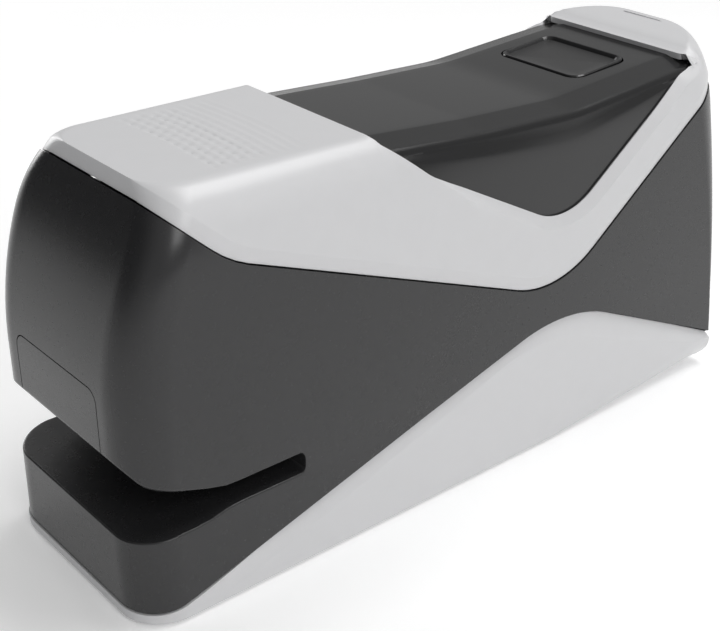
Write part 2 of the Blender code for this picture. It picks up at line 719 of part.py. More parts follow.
def make_hammer(surfaces):
    """Lever that the crank pushes down: an eye at the pin, a slot for the crank pin, a nose in the driver."""
    y, z = HAMMER_AXIS
    outline = [
        (21.2, 44.8), (28, 43.4), (40, 42.4), (60, 39.2), (y, z - 5.2), (y + 4.6, z - 2.6), (y + 5.2, z),
        (y + 4.4, z + 3.2), (y, z + 5.4), (56, 54.6), (40, 57.4), (34, 55.2), (29, 48.6), (21.2, 47.4),
    ]
    lever = extrude("hammer_lever", outline, "X", -2.0, 2.0)
    combine(lever, cylinder("eye", "X", HAMMER_AXIS, 2.08, -5, 5, 20))
    slot_z = CRANK_AXIS[1] + CRANK_THROW
    slot = rounded_rectangle(CRANK_AXIS[0] - 4.6, CRANK_AXIS[0] + 4.6, slot_z - 1.6, slot_z + 1.6, 1.5)
    combine(lever, extrude("slot", slot, "X", -5, 5))
    finish(lever, surfaces["steel"])
    carry("hammer_axis", (0, y, z), lever)

    blade = box("driver_blade", -4.1, 4.1, DRIVER_Y - 0.3, DRIVER_Y + 0.3, 33.4, 54)
    combine(blade, box("window", -2.3, 2.3, 20, 26, 43.4, 48.8))
    finish(blade, surfaces["steel"])
    carry("driver_axis", (0, DRIVER_Y, 40), blade)


def coil(name, centre, axis, radius, wire, low, high, turns, surface):
    """An open coil spring with its wire as one closed tube."""
    per_turn = 8
    sides = 4
    count = turns * per_turn
    place = {"Y": lambda a, b, t: (a, t, b), "Z": lambda a, b, t: (a, b, t)}[axis]
    rings = []
    for i in range(count + 1):
        turn = 2 * math.pi * i / per_turn
        along = low + (high - low) * i / count
        ring_points = []
        for j in range(sides):
            tilt = 2 * math.pi * j / sides
            reach = radius + wire * math.cos(tilt)
            a = centre[0] + reach * math.cos(turn)
            b = centre[1] + reach * math.sin(turn)
            ring_points.append(place(a, b, along + wire * math.sin(tilt)))
        rings.append(ring_points if axis == "Y" else ring_points[::-1])
    spring = loft(name, rings)
    return finish(spring, surface, 60)


def make_drawer(shell, surfaces):
    """Staple drawer: door, steel channel, strip of staples, pusher and its spring."""
    door = make_drawer_front(shell, surfaces)
    width = CHANNEL_HALF_WIDTH
    start, end, floor = CHANNEL_FRONT, CHANNEL_REAR, CHANNEL_FLOOR
    channel = box("magazine_channel", -width, width, start, end, floor, 32.4)
    combine(channel, box("trough", -width + 0.8, width - 0.8, 0, end - 1.2, floor + 0.8, 40))
    combine(channel, box("rail", -2.6, 2.6, start + 0.2, end - 0.6, floor + 0.4, 28.4), "UNION")
    combine(channel, box("catch", -width, width, end - 1.2, end, 31, 35.6), "UNION")
    finish(channel, surfaces["steel"])

    strip = box("staple_strip", -4.2, 4.2, 24.2, 46.6, CHANNEL_FLOOR + 1.2, 31.8)
    combine(strip, box("between_legs", -3.6, 3.6, 0, 80, 20, 31.2))
    finish(strip, surfaces["staple"])

    spring = coil("pusher_spring", (0, 30.2), "Y", 1.1, 0.22, 56.2, 78.2, 9, surfaces["staple"])

    pusher = box("staple_pusher", -4.2, 4.2, 47.2, 55.6, CHANNEL_FLOOR + 1.2, 32.0)
    combine(pusher, box("straddle", -3.0, 3.0, 40, 60, 20, 28.8))
    finish(pusher, surfaces["black"])

    carry("drawer_axis", (0, 0, 30), door, channel, strip, spring)
    carry("pusher_axis", (0, 47, 30), pusher)


def make_button(surfaces):
    """Sloping button with a dished face, a flange that keeps it in, a spring seat and a leg over the lever."""
    front, rear_end, half, middle = BUTTON_FRONT, BUTTON_REAR, BUTTON_HALF_WIDTH, BUTTON_MIDDLE
    low, high = BUTTON_TOP
    button = extrude("release_button", rounded_rectangle(-half, half, front, rear_end, 3.0), "Z", 69.0, 80.0)
    under = [(front, 60), (rear_end, 60), (rear_end, high), (front, low)]
    combine(button, extrude("slope", under, "X", -20, 20), "INTERSECT")
    rim = BUTTON_RIM
    outline = rounded_rectangle(-half + rim, half - rim, front + rim, rear_end - rim, 2.2)
    dish = extrude("dish", outline, "Z", 60, 85)
    over = [(front, low - BUTTON_DISH), (rear_end, high - BUTTON_DISH), (rear_end, 90), (front, 90)]
    combine(dish, extrude("over", over, "X", -20, 20), "INTERSECT")
    combine(button, dish)
    combine(button, box("flange", -13.6, 13.6, front + 3, rear_end - 3, 67.6, 69.6), "UNION")
    arm = LEVER_X[0] + 1.0
    combine(button, box("arm", arm, -12.0, middle - 1, middle + 1, 65.4, 68.4), "UNION")
    combine(button, box("leg", arm, LEVER_X[1], middle - 1, middle + 1, 62.4, 66.4), "UNION")
    combine(button, cylinder("spring_seat", "Z", (0, middle), 3.4, 66.4, 68.4, 16), "UNION")
    finish(button, surfaces["black"])
    carry("button_axis", (0, middle, high), button)
    coil("button_spring", (0, middle), "Z", 2.6, 0.3, 58.9, 65.8, 5, surfaces["staple"])


def make_release_lever(surfaces):
    """Lever that the button's leg tips: its hook, in front and below, holds the staple drawer's catch."""
    y, z = LEVER_AXIS
    end = BUTTON_MIDDLE + 2.3
    side = [
        (76.6, 36.4), (79.8, 36.4), (80.4, 41), (y + 2, z - 4), (end, 58.6), (end, 62.0), (y - 1, z + 4.2),
        (y - 4, z + 1), (77.4, 43), (76.6, 41),
    ]
    lever = extrude("release_lever", side, "X", *LEVER_X)
    combine(lever, box("hook", LEVER_X[0], -1.5, 76.6, 79.2, 36.4, 39.0), "UNION")
    combine(lever, cylinder("eye", "X", LEVER_AXIS, 1.58, -30, 0, 16))
    finish(lever, surfaces["steel"])
    carry("release_lever_axis", (LEVER_X[0], y, z), lever)


def make_paper_trigger(surfaces):
    """Plunger that the paper pushes back at the end of the slot, onto the switch behind it."""
    tip = rounded_path([(34.0, 19.7, 0), (33.9, 22.2, 1.0), (36, 22.2, 0), (41.4, 22.2, 0), (41.4, 19.7, 0)], 4)
    trigger = extrude("paper_trigger", tip, "X", -1.8, 1.8)
    combine(trigger, box("stop", -3.2, 3.2, 38.2, 39.6, 19.7, 22.2), "UNION")
    finish(trigger, surfaces["grey"])
    carry("trigger_axis", (0, 37, 21), trigger)


def build():
    for item in list(bpy.data.objects):
        bpy.data.objects.remove(item)
    surfaces = make_materials()
    shell = make_shell()
    make_main_housing(shell, surfaces)
    make_top_cover(surfaces)
    make_top_panel(surfaces)
    make_base_tray(surfaces)
    make_feet(surfaces)
    make_screws(surfaces)
    make_frame(surfaces)
    make_driver_guide(surfaces)
    make_motor(surfaces)
    make_pins(surfaces)
    make_anvil(surfaces)
    make_battery_holder(surfaces)
    make_cells(surfaces)
    make_circuit_board(surfaces)
    make_micro_switch(surfaces)
    make_leads(surfaces)
    make_gear_train(surfaces)
    make_hammer(surfaces)
    make_drawer(shell, surfaces)
    make_button(surfaces)
    make_release_lever(surfaces)
    make_paper_trigger(surfaces)
    door = make_battery_door(shell, surfaces)
    contact = make_contacts(surfaces)
    carry("battery_door_axis", (0, rear(DOOR_LOW) + 0.1, DOOR_LOW), door, contact)
    bpy.data.objects.remove(shell)


build()
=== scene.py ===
"""Electric stapler on a pale floor.

Sizes are in millimetres in the stapler's own directions: X is the width from the middle plane, Y runs from the nose
(0) to the rear, and Z is the height above the tray's underside. `placed` turns them into metres in the frame.
"""

import json
import math

import bmesh
import bpy
import numpy as np
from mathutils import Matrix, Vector


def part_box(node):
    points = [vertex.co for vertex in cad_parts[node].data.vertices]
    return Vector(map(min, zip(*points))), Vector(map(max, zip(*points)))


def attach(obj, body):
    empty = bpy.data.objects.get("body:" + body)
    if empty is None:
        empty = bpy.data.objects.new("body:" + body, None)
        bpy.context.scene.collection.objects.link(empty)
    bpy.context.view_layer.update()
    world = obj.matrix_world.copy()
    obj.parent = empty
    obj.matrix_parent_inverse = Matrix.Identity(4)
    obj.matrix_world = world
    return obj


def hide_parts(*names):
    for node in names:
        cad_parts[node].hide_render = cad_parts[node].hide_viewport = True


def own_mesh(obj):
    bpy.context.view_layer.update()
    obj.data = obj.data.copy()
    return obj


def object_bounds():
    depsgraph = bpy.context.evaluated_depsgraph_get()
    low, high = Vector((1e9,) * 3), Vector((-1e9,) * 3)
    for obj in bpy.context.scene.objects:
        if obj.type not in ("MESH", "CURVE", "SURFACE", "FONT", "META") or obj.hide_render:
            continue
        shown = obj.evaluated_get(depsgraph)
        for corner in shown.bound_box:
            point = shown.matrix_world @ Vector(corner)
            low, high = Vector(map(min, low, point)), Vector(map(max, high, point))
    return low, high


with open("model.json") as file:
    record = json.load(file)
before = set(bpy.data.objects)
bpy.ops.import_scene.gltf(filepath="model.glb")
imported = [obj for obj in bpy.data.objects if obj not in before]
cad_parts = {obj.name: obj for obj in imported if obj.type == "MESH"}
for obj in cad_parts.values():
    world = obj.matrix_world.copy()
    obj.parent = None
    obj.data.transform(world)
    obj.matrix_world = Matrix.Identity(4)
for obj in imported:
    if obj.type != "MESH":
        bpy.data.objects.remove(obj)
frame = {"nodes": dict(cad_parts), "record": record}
CAD_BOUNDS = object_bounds()
scene = bpy.context.scene

MM = 0.001
TRAY_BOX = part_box("base_tray")
ORIGIN = np.array((0.0, TRAY_BOX[0].y, TRAY_BOX[0].z))
FINISH_OF = {part["node"]: part["material_slot"] for part in frame["record"]["subparts"]}
BODY_OF = {node: body for body, nodes in frame["record"]["behaviour"]["bodies"].items() for node in nodes}


# ---------------------------------------------------------------- camera

camera = bpy.data.objects.new("camera", bpy.data.cameras.new("camera"))
scene.collection.objects.link(camera)
# A long lens from the front, above and to one side, where the photograph was taken from.
camera.location = (0.190192, -0.166122, 0.1606)
camera.rotation_euler = (math.radians(62.238), 0.0, math.radians(50.425))
camera.data.lens = 69.48
camera.data.sensor_width = 36.0
camera.data.clip_start = 0.01
scene.camera = camera


# ---------------------------------------------------------------- materials

COLOUR_CELLS = 260.0           # cells per metre of the noise behind colour, wear and roughness
WEAR_CELLS = 420.0
ROUGHNESS_CELLS = 700.0


def node_tree(name):
    """A new material with its node tree and its Principled shader."""
    material = bpy.data.materials.new(name)
    material.use_nodes = True
    tree = material.node_tree
    return material, tree, tree.nodes["Principled BSDF"]


def noise(tree, source, scale, detail=2.0, stretch=None):
    """Noise over object space, in cells per metre, stretched along an axis for a brushed look."""
    node = tree.nodes.new("ShaderNodeTexNoise")
    node.inputs["Scale"].default_value = scale
    node.inputs["Detail"].default_value = detail
    if stretch:
        mapping = tree.nodes.new("ShaderNodeMapping")
        mapping.inputs["Scale"].default_value = stretch
        tree.links.new(source, mapping.inputs["Vector"])
        source = mapping.outputs["Vector"]
    tree.links.new(source, node.inputs["Vector"])
    return node.outputs["Fac"]


def spread(tree, value, low, high, start=0.3, end=0.7):
    """A value between start and end, mapped to the range from low to high."""
    node = tree.nodes.new("ShaderNodeMapRange")
    tree.links.new(value, node.inputs["Value"])
    node.inputs["From Min"].default_value = start
    node.inputs["From Max"].default_value = end
    node.inputs["To Min"].default_value = low
    node.inputs["To Max"].default_value = high
    return node.outputs["Result"]


def blend_colours(tree, factor, first, second):
    """A mix of two colours, each given as a tuple or as another node's output."""
    node = tree.nodes.new("ShaderNodeMix")
    node.data_type = "RGBA"
    tree.links.new(factor, node.inputs["Factor"])
    for socket, colour in ((node.inputs["A"], first), (node.inputs["B"], second)):
        if isinstance(colour, tuple):
            socket.default_value = (*colour, 1.0)
        else:
            tree.links.new(colour, socket)
    return node.outputs["Result"]


def edge_mask(tree, radius):
    """1 along edges and 0 elsewhere: how far a rounded normal turns from the real one."""
    bevel = tree.nodes.new("ShaderNodeBevel")
    bevel.samples = 4
    bevel.inputs["Radius"].default_value = radius
    geometry = tree.nodes.new("ShaderNodeNewGeometry")
    dot = tree.nodes.new("ShaderNodeVectorMath")
    dot.operation = "DOT_PRODUCT"
    tree.links.new(bevel.outputs["Normal"], dot.inputs[0])
    tree.links.new(geometry.outputs["Normal"], dot.inputs[1])
    return spread(tree, dot.outputs["Value"], 1.0, 0.0, 0.8, 0.99)


def surface(name, colour, roughness, metallic=0.0, vary=0.06, rough_vary=0.03, grain=2600.0, depth=0.02,
            wear=0.25, worn=None, brushed=None, edge=0.00025, coat=0.0):
    """A procedural finish: colour and roughness vary, a fine grain in the relief, and edges wear."""
    material, tree, shader = node_tree(name)
    place = tree.nodes.new("ShaderNodeTexCoord").outputs["Object"]
    darker = tuple(c * (1.0 - vary) for c in colour)
    lighter = tuple(min(1.0, c * (1.0 + vary)) for c in colour)
    tone = spread(tree, noise(tree, place, COLOUR_CELLS, 3.0), 0.0, 1.0, 0.0, 1.0)
    base = blend_colours(tree, tone, darker, lighter)
    edges = edge_mask(tree, edge)
    broken = tree.nodes.new("ShaderNodeMath")
    broken.operation = "MULTIPLY"
    tree.links.new(edges, broken.inputs[0])
    tree.links.new(spread(tree, noise(tree, place, WEAR_CELLS), 0.0, wear, 0.35, 0.75), broken.inputs[1])
    target = worn or tuple(min(1.0, c * 1.6 + 0.06) for c in colour)
    tree.links.new(blend_colours(tree, broken.outputs[0], base, target), shader.inputs["Base Color"])
    fine = noise(tree, place, grain, 1.0, brushed)
    rough = spread(tree, noise(tree, place, ROUGHNESS_CELLS, stretch=brushed), roughness - rough_vary,
                   roughness + rough_vary, 0.0, 1.0)
    tree.links.new(rough, shader.inputs["Roughness"])
    shader.inputs["Metallic"].default_value = metallic
    shader.inputs["Coat Weight"].default_value = coat
    bump = tree.nodes.new("ShaderNodeBump")
    bump.inputs["Strength"].default_value = 1.0
    bump.inputs["Distance"].default_value = depth * MM
    tree.links.new(fine, bump.inputs["Height"])
    tree.links.new(bump.outputs["Normal"], shader.inputs["Normal"])
    return material


FINISHES = {
    "dark_plastic": surface("dark_plastic", (0.021, 0.021, 0.022), 0.27, depth=0.004, rough_vary=0.015, wear=0.12),
    "black_plastic": surface("black_plastic", (0.010, 0.010, 0.0105), 0.22, depth=0.003, rough_vary=0.015, wear=0.12),
    "white_plastic": surface("white_plastic", (0.61, 0.61, 0.62), 0.32, vary=0.015, depth=0.004, rough_vary=0.015,
                             wear=0.12, worn=(0.72, 0.71, 0.70)),
    "grey_plastic": surface("grey_plastic", (0.20, 0.20, 0.21), 0.45, depth=0.02),
    "gear_nylon": surface("gear_nylon", (0.80, 0.78, 0.70), 0.45, vary=0.04, depth=0.015),
    "rubber": surface("rubber", (0.022, 0.022, 0.023), 0.75, depth=0.05, grain=1800.0, rough_vary=0.1),
    "plated_steel": surface("plated_steel", (0.56, 0.56, 0.58), 0.32, 1.0, brushed=(1.0, 0.06, 1.0), depth=0.01,
                            worn=(0.8, 0.8, 0.8)),
    "motor_can": surface("motor_can", (0.50, 0.50, 0.52), 0.28, 1.0, brushed=(0.08, 1.0, 1.0), depth=0.01,
                         worn=(0.75, 0.75, 0.75)),
    "staple_wire": surface("staple_wire", (0.70, 0.70, 0.72), 0.22, 1.0, grain=3200.0, brushed=(1.0, 8.0, 1.0),
                           depth=0.03, worn=(0.9, 0.9, 0.9)),
    "spring_wire": surface("spring_wire", (0.42, 0.42, 0.43), 0.35, 1.0, depth=0.015, edge=0.0001),
    "brass": surface("brass", (0.72, 0.53, 0.24), 0.30, 1.0, brushed=(0.1, 1.0, 1.0), depth=0.01,
                     worn=(0.85, 0.68, 0.38)),
    "circuit_board": surface("circuit_board", (0.025, 0.16, 0.07), 0.38, vary=0.25, depth=0.03, coat=0.3),
    "cell_jacket": surface("cell_jacket", (0.08, 0.10, 0.26), 0.3, vary=0.12, depth=0.006, coat=0.4),
    "red_lead": surface("red_lead", (0.45, 0.025, 0.025), 0.45, depth=0.02),
    "black_lead": surface("black_lead", (0.02, 0.02, 0.02), 0.5, depth=0.02),
}


for node, item in frame["nodes"].items():
    item.data.materials.clear()
    item.data.materials.append(FINISHES[FINISH_OF[node]])


# ---------------------------------------------------------------- outer form

LENGTH = round((CAD_BOUNDS[1][1] - CAD_BOUNDS[0][1]) / MM, 1)
SIDE_HALF = 24.0               # half width of the upright sides
FOOT_FLARE = 0.5               # the sides spread by this much from the slot's floor down to the underside
SHOULDER_Z = 64.0              # the upright sides end here
TOP_Z = 77.4
SHOULDER = TOP_Z - SHOULDER_Z
FRONT_FLAT = 16.0              # half the flat top's width at the nose
REAR_FLAT = 19.0
NOSE_GAP = 0.3                 # the nose starts this far behind the front of the CAD tray
NOSE_TURN_Z = 40.0             # the nose leans back above this height, on an arc
NOSE_BOW = 65.0
NOSE_RADIUS, NOSE_TAPER, NOSE_TAPER_OVER = 8.6, 1.8, 37.0       # the nose's corners get sharper towards the top
REAR_RADIUS, REAR_SPREAD, REAR_SPREAD_OVER = 0.8, 9.5, 65.0     # and the rear's get rounder
BACK_LEAN = 0.062              # the rear leans forward by this much for each millimetre of height
COVER_WALL = 1.3
HOUSING_WALL = 1.8
TRAY_WALL = 1.7
PANEL_WALL = 1.5
HOUSING_INSET = 0.25           # the dark casing stands a little inside its white trims
TRIM_GAP = 0.3                 # and stops this far short of their edges
SLOT_FLOOR_Z = 18.8
SLOT_ROOF_Z = 23.1
SLOT_Z = 20.95                 # the height at which floor and roof meet at the slot's end
SLOT_END = 35.5
PINCH = SLOT_END + 0.05        # the first column behind the slot's end
WINDOW_FRONT = 54.8
WINDOW_REAR = 138.0
DETAIL_FROM = 25.0             # columns stand at fixed places along the side between these two
DETAIL_TO = 133.5
DISC_POINTS = 32
NOSE, NOSE_CORNER, SIDE_FRONT, SIDE, SIDE_REAR, REAR_CORNER, REAR = range(7)


def section(z):
    """The body's plan outline at heights z: its half widths, corner radii and ends."""
    rise = np.clip((z - SHOULDER_Z) / SHOULDER, 0.0, 1.0)
    round_over = np.sqrt(1.0 - rise ** 2)
    side = SIDE_HALF + FOOT_FLARE * np.clip(1.0 - z / SLOT_FLOOR_Z, 0.0, 1.0)
    above = np.maximum(0.0, z - NOSE_TURN_Z)
    return {
        "front": FRONT_FLAT + (side - FRONT_FLAT) * round_over,
        "rear": REAR_FLAT + (side - REAR_FLAT) * round_over,
        "front_radius": NOSE_RADIUS - NOSE_TAPER * (above / NOSE_TAPER_OVER) ** 2,
        "rear_radius": REAR_RADIUS + REAR_SPREAD * (z / REAR_SPREAD_OVER) ** 2,
        "nose": NOSE_GAP + NOSE_BOW - np.sqrt(NOSE_BOW ** 2 - above ** 2),
        "back": LENGTH - BACK_LEAN * z,
    }


def along(first, last, step):
    """Even places from first to last, about a step apart."""
    return np.linspace(first, last, max(2, int(round((last - first) / step)) + 1))


def make_columns():
    """Columns that stand round the right half of the body, from the middle of the nose to the middle of the rear.
    Each has a stretch and a place along it: from 0 to 1, or on SIDE the distance from the nose, with finer steps at
    the finger grip, the slot's end and the window's front edge. Also says where the window ends on the rear corner."""
    at = [(NOSE, t) for t in np.linspace(0.0, 1.0, 31)[:-1]]
    at += [(NOSE_CORNER, t) for t in np.linspace(0.0, 1.0, 19)[:-1]]
    at += [(SIDE_FRONT, t) for t in np.linspace(0.0, 1.0, 6)[:-1]]
    fixed = np.concatenate([
        along(DETAIL_FROM, 34.0, 0.45)[:-1], along(34.0, SLOT_END, 0.15), along(PINCH, 47.0, 0.45)[:-1],
        along(47.0, WINDOW_FRONT, 0.9)[:-1], along(WINDOW_FRONT, 57.2, 0.4)[:-1], along(57.2, 90.0, 1.0)[:-1],
        along(90.0, 115.0, 0.7)[:-1], along(115.0, DETAIL_TO, 0.8)])
    at += [(SIDE, y) for y in fixed[:-1]]
    at += [(SIDE_REAR, t) for t in np.linspace(0.0, 1.0, 7)[:-1]]
    top = section(np.array([TOP_Z]))
    start = float(top["back"][0] - top["rear_radius"][0])
    edge = math.degrees(math.asin((WINDOW_REAR - start) / float(top["rear_radius"][0]))) / 90.0
    turns = np.unique(np.concatenate([np.linspace(0.0, edge, 6), np.linspace(edge, 1.0, 15)]))
    at += [(REAR_CORNER, t) for t in turns[:-1]]
    at += [(REAR, t) for t in np.linspace(0.0, 1.0, 31)]
    return np.array([k for k, _ in at]), np.array([t for _, t in at]), edge


KIND, PLACE, WINDOW_TURN = make_columns()


def column_at(kind, place):
    """The column of a stretch that stands nearest to a place."""
    return int(np.argmin(np.where(KIND == kind, np.abs(PLACE - place), np.inf)))


FRONT_COLUMNS = int(np.sum(KIND == NOSE)) + 1
WINDOW_FRONT_COLUMN = column_at(SIDE, WINDOW_FRONT)
WINDOW_REAR_COLUMN = column_at(REAR_CORNER, WINDOW_TURN)
PINCH_COLUMN = column_at(SIDE, PINCH)
REAR_START = int(np.argmax(KIND == REAR))


def wall(z, inset=0.0):
    """Points (x, y, z) of the right-hand columns at heights z, one height for each column, shrunk by an inset."""
    z = np.broadcast_to(np.asarray(z, float), KIND.shape)
    inset = np.broadcast_to(np.asarray(inset, float), KIND.shape)
    s = section(z)
    front, rear = s["front"] - inset, s["rear"] - inset
    front_radius = np.maximum(s["front_radius"] - inset, 0.4)
    rear_radius = np.maximum(s["rear_radius"] - inset, 0.3)
    nose, back = s["nose"] + inset, s["back"] - inset
    side_start, side_end = nose + front_radius, back - rear_radius
    turn = np.radians(90.0 * np.clip(PLACE, 0.0, 1.0))
    y = np.select(
        [KIND == NOSE, KIND == NOSE_CORNER, KIND == SIDE_FRONT, KIND == SIDE, KIND == SIDE_REAR, KIND == REAR_CORNER],
        [nose, nose + front_radius * (1 - np.cos(turn)), side_start + PLACE * (DETAIL_FROM - side_start), PLACE,
         DETAIL_TO + PLACE * (side_end - DETAIL_TO), side_end + rear_radius * np.sin(turn)], back)
    side = front + (rear - front) * (y - side_start) / (side_end - side_start)
    x = np.select(
        [KIND == NOSE, KIND == NOSE_CORNER, KIND == REAR_CORNER, KIND == REAR],
        [PLACE * (front - front_radius), front - front_radius + front_radius * np.sin(turn),
         rear - rear_radius + rear_radius * np.cos(turn), (1 - PLACE) * (rear - rear_radius)], side)
    return np.stack([x, y, z], axis=-1)


def rounded_path(corners, steps=8):
    """A side-view path through (y, z, radius) corners, each corner with a radius replaced by an arc."""
    path = []
    for i, (a, b, radius) in enumerate(corners):
        if not radius:
            path.append((a, b))
            continue
        here = Vector((a, b))
        back = (Vector(corners[i - 1][:2]) - here).normalized()
        ahead = (Vector(corners[i + 1][:2]) - here).normalized()
        half = back.angle(ahead) / 2
        centre = here + (back + ahead).normalized() * (radius / math.sin(half))
        start = here + back * (radius / math.tan(half)) - centre
        sweep = start.angle_signed(here + ahead * (radius / math.tan(half)) - centre)
        for step in range(steps + 1):
            turn = -sweep * step / steps
            path.append((centre.x + start.x * math.cos(turn) - start.y * math.sin(turn),
                         centre.y + start.x * math.sin(turn) + start.y * math.cos(turn)))
    return np.array(path)


def beside(path, distance):
    """The path moved sideways, upwards for a positive distance that may vary along it."""
    step = np.gradient(path, axis=0)
    step /= np.linalg.norm(step, axis=1)[:, None]
    return path + np.stack([-step[:, 1], step[:, 0]], axis=1) * np.reshape(distance, (-1, 1))


def level(path, low, high, inset=0.0):
    """The height at which each column crosses a side-view path, kept between two heights and found by halving."""
    low = np.broadcast_to(np.asarray(low, float), KIND.shape).copy()
    high = np.broadcast_to(np.asarray(high, float), KIND.shape).copy()
    order = np.maximum.accumulate(path[:, 0] + np.arange(len(path)) * 1e-7)
    for _ in range(32):
        middle = (low + high) / 2
        under = middle < np.interp(wall(middle, inset)[:, 1], order, path[:, 1])
        low = np.where(under, middle, low)
        high = np.where(under, high, middle)
    return (low + high) / 2


def sheet(z):
    """Distance up the side at a height: the shoulder is longer than it is tall."""
    rise = np.clip((z - SHOULDER_Z) / SHOULDER, 0.0, 1.0)
    return np.where(z < SHOULDER_Z, z, SHOULDER_Z + SHOULDER * np.arcsin(rise))


def height(s):
    """The height at a distance up the side, the inverse of `sheet`."""
    turn = np.clip((s - SHOULDER_Z) / SHOULDER, 0, np.pi / 2)
    return np.where(s < SHOULDER_Z, s, SHOULDER_Z + SHOULDER * np.sin(turn))


def strip(low, high, fractions, inset_low=0.0, inset_high=0.0):
    """Rows of columns between two heights, given as fractions of the way up."""
    rows = []
    for f in fractions:
        rows.append(wall(height(sheet(low) * (1 - f) + sheet(high) * f), inset_low * (1 - f) + inset_high * f))
    return rows


def both_sides(grid):
    """A right-hand patch and its mirror image."""
    return [grid, grid * (-1.0, 1.0, 1.0)]


def across(row, first, last):
    """A patch from side to side, between the points of some right-hand columns and their mirror images. It meets the
    columns of the nose's straight stretch, or of the rear's, point for point."""
    half = np.linspace(0.0, 1.0, FRONT_COLUMNS)
    share = np.concatenate([-half[::-1][:-1], half])
    picked = row[first:last]
    grid = np.stack([share[None, :] * picked[:, :1], np.repeat(picked[:, 1:2], len(share), 1),
                     np.repeat(picked[:, 2:3], len(share), 1)], axis=-1)
    return [grid]


def placed(points):
    """Points in the stapler's millimetres, as metres in the frame."""
    return np.asarray(points, float) * MM + ORIGIN


def skin(name, patches, weld=0.004):
    """One mesh from patches of points, welded along their shared edges, facing outwards."""
    points, faces, start = [], [], 0
    for patch in patches:
        rows, columns = patch.shape[:2]
        points.append(patch.reshape(-1, 3))
        index = np.arange(rows * columns).reshape(rows, columns) + start
        faces.append(np.stack([index[:-1, :-1], index[:-1, 1:], index[1:, 1:], index[1:, :-1]], -1).reshape(-1, 4))
        start += rows * columns
    mesh = bpy.data.meshes.new(name)
    mesh.from_pydata(placed(np.concatenate(points)).tolist(), [], np.concatenate(faces).tolist())
    form = bmesh.new()
    form.from_mesh(mesh)
    bmesh.ops.remove_doubles(form, verts=form.verts, dist=weld * MM)
    bmesh.ops.dissolve_degenerate(form, edges=form.edges, dist=1e-7)
    loose = [v for v in form.verts if not v.link_faces]
    bmesh.ops.delete(form, geom=loose, context="VERTS")
    bmesh.ops.recalc_face_normals(form, faces=form.faces)
    middle = Vector(placed((0.0, LENGTH / 2, 40.0)))
    if sum((f.calc_center_median() - middle).dot(f.normal) * f.calc_area() for f in form.faces) < 0:
        bmesh.ops.reverse_faces(form, faces=form.faces)
    form.to_mesh(mesh)
    form.free()
    item = bpy.data.objects.new(name, mesh)
    scene.collection.objects.link(item)
    return item


def local(mesh):
    """Vertex places in the stapler's own millimetres, and vertex normals."""
    count = len(mesh.vertices)
    flat = np.empty(count * 3)
    mesh.vertices.foreach_get("co", flat)
    normal = np.empty(count * 3)
    mesh.vertices.foreach_get("normal", normal)
    return (flat.reshape(-1, 3) - ORIGIN) / MM, normal.reshape(-1, 3)


def move_vertices(item, points):
    item.data.vertices.foreach_set("co", placed(points).reshape(-1))
    item.data.update()


def apply_modifiers(item):
    graph = bpy.context.evaluated_depsgraph_get()
    result = bpy.data.meshes.new_from_object(item.evaluated_get(graph))
    item.modifiers.clear()
    item.data = result


def thicken(item, wall_thickness):
    """Gives a skin a wall, inwards from its outer face."""
    modifier = item.modifiers.new("wall", "SOLIDIFY")
    modifier.thickness = wall_thickness * MM
    modifier.offset = -1.0
    apply_modifiers(item)


def close_ends(item):
    """Fills the open ends of a skin."""
    form = bmesh.new()
    form.from_mesh(item.data)
    bmesh.ops.holes_fill(form, edges=[e for e in form.edges if e.is_boundary], sides=0)
    bmesh.ops.recalc_face_normals(form, faces=form.faces)
    form.to_mesh(item.data)
    form.free()


def combine(item, tool, operation="DIFFERENCE"):
    """Cuts a piece with a tool, or keeps only what lies in it, and removes the tool."""
    modifier = item.modifiers.new(operation, "BOOLEAN")
    modifier.operation = operation
    modifier.solver = "MANIFOLD"
    modifier.object = tool
    apply_modifiers(item)
    bpy.data.objects.remove(tool)


def prism(name, outline, axis, low, high):
    """A straight cutter: the outline is in (z, x) for axis Y, and in (x, y) for axis Z."""
    to_place = {"Y": lambda a, b, t: (b, t, a), "Z": lambda a, b, t: (a, b, t)}[axis]
    count = len(outline)
    points = [to_place(a, b, low) for a, b in outline] + [to_place(a, b, high) for a, b in outline]
    faces = [list(range(count))[::-1], list(range(count, 2 * count))]
    faces += [[i, (i + 1) % count, count + (i + 1) % count, count + i] for i in range(count)]
    mesh = bpy.data.meshes.new(name)
    mesh.from_pydata(placed(points).tolist(), [], faces)
    form = bmesh.new()
    form.from_mesh(mesh)
    bmesh.ops.recalc_face_normals(form, faces=form.faces)
    form.to_mesh(mesh)
    form.free()
    tool = bpy.data.objects.new(name, mesh)
    scene.collection.objects.link(tool)
    return tool


def rounded_rectangle(a0, a1, b0, b1, radius, steps=8):
    """Outline from a0 to a1 and from b0 to b1, with an arc at each corner."""
    outline = []
    for a, b, start in ((a1, b1, 0), (a0, b1, 90), (a0, b0, 180), (a1, b0, 270)):
        ca = a - math.copysign(radius, a - (a0 + a1) / 2)
        cb = b - math.copysign(radius, b - (b0 + b1) / 2)
        for step in range(steps + 1):
            turn = math.radians(start + 90 * step / steps)
            outline.append((ca + radius * math.cos(turn), cb + radius * math.sin(turn)))
    return outline


def disc(centre, radius):
    turns = [2 * math.pi * i / DISC_POINTS for i in range(DISC_POINTS)]
    return [(centre[0] + radius * math.cos(a), centre[1] + radius * math.sin(a)) for a in turns]


def dress(item, node, angle=28.0):
    """Gives a piece its finish and shading, and lets it stand for its CAD node."""
    item.data.materials.clear()
    item.data.materials.append(FINISHES[FINISH_OF[node]])
    item.data.shade_smooth()
    item.data.set_sharp_from_angle(angle=math.radians(angle))
    modifier = item.modifiers.new("normals", "WEIGHTED_NORMAL")
    modifier.keep_sharp = True
    modifier.weight = 60
    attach(item, BODY_OF[node])
    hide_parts(node)


# ---------------------------------------------------------------- side-view lines

